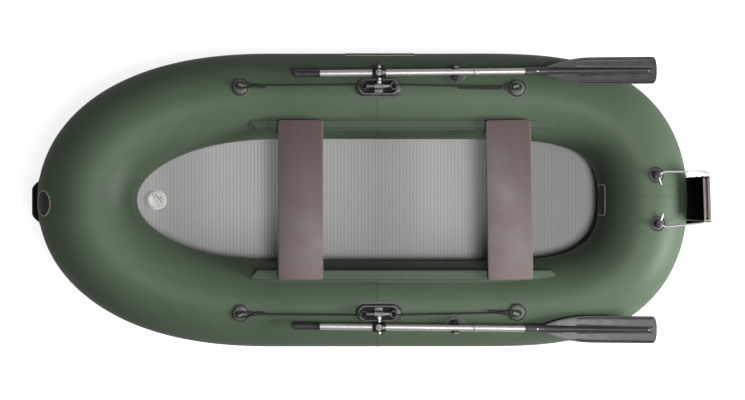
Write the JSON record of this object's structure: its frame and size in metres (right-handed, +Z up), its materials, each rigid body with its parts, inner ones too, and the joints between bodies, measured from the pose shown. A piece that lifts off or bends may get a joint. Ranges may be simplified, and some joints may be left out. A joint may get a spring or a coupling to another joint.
{
  "type": "inflatable rowing boat",
  "caption": "Inflatable rowing boat with an air floor, sliding plank benches, swivelling oars stowed on the tubes, grab lines, a bow handle and a clip-on transom.",
  "frame": {"origin": "middle of the bottom of the whole boat, on the ground it rests on", "axes": "+X towards the bow, +Y to port, +Z up"},
  "size_m": [3.024, 1.3482, 0.5288],
  "materials": {
    "hull_pvc": "dark green coated PVC fabric, soft sheen",
    "rail_pvc": "dark green coated PVC strip",
    "bottom_pvc": "dark grey coated PVC fabric",
    "floor_pvc": "light grey PVC with fine cross ribs",
    "bench_board": "brown phenolic film-faced plywood, satin",
    "shoe_plastic": "black moulded plastic",
    "black_rubber": "black moulded rubber",
    "patch_rubber": "black-green moulded patch",
    "black_plastic": "black moulded plastic",
    "blade_plastic": "dark grey moulded plastic, satin",
    "shaft_aluminium": "bright anodised tube",
    "bright_steel": "bright stainless rod",
    "swivel_metal": "cast grey alloy",
    "rope_braid": "dark braided rope",
    "transom_ply": "black-stained plywood with brown-grey edges",
    "valve_cap": "off-white moulded plastic"
  },
  "bodies": {
    "hull": {"air_floor": "floor_pvc", "bottom_skin": "bottom_pvc", "bow_chamber_valve": "black_plastic", "bow_handle": "black_rubber", "floor_valve": "valve_cap", "grab_line_port": "rope_braid", "grab_line_starboard": "rope_braid", "oar_clip_port": "black_rubber", "oar_clip_starboard": "black_rubber", "oarlock_axle_port": "bright_steel", "oarlock_axle_starboard": "bright_steel", "oarlock_base_port": "black_rubber", "oarlock_base_starboard": "black_rubber", "rope_eye_aft_port": "patch_rubber", "rope_eye_aft_starboard": "patch_rubber", "rope_eye_fore_port": "patch_rubber", "rope_eye_fore_starboard": "patch_rubber", "seat_rail_port": "rail_pvc", "seat_rail_starboard": "rail_pvc", "stern_chamber_valve": "black_plastic", "transom_arm_port": "bright_steel", "transom_arm_starboard": "bright_steel", "transom_board": "transom_ply", "transom_eye_low_port": "patch_rubber", "transom_eye_low_starboard": "patch_rubber", "transom_eye_top_port": "patch_rubber", "transom_eye_top_starboard": "patch_rubber", "tube_bow": "hull_pvc", "tube_stern": "hull_pvc"},
    "front_seat": {"front_bench": "bench_board", "front_bench_shoe_port": "shoe_plastic", "front_bench_shoe_starboard": "shoe_plastic"},
    "rear_seat": {"rear_bench": "bench_board", "rear_bench_shoe_port": "shoe_plastic", "rear_bench_shoe_starboard": "shoe_plastic"},
    "port_oar": {"oar_blade_port": "blade_plastic", "oar_bolt_port": "bright_steel", "oar_collar_port": "black_plastic", "oar_grip_port": "black_rubber", "oar_shaft_port": "shaft_aluminium", "oar_sleeve_port": "shaft_aluminium", "oar_swivel_port": "swivel_metal"},
    "starboard_oar": {"oar_blade_starboard": "blade_plastic", "oar_bolt_starboard": "bright_steel", "oar_collar_starboard": "black_plastic", "oar_grip_starboard": "black_rubber", "oar_shaft_starboard": "shaft_aluminium", "oar_sleeve_starboard": "shaft_aluminium", "oar_swivel_starboard": "swivel_metal"}
  },
  "joints": [
    {"name": "front_seat_slide", "type": "slide", "parent": "hull", "child": "front_seat", "axis": [1, 0, 0], "range_m": [-0.31, 0.13]},
    {"name": "rear_seat_slide", "type": "slide", "parent": "hull", "child": "rear_seat", "axis": [1, 0, 0], "range_m": [-0.06, 0.38]},
    {"name": "port_oar_lift", "type": "hinge", "parent": "hull", "child": "port_oar", "pos_m": [-0.049, 0.503, 0.424], "axis": [1, 0, 0], "range_deg": [0, 135]},
    {"name": "starboard_oar_lift", "type": "hinge", "parent": "hull", "child": "starboard_oar", "pos_m": [-0.049, -0.503, 0.424], "axis": [-1, 0, 0], "range_deg": [0, 135]}
  ]
}
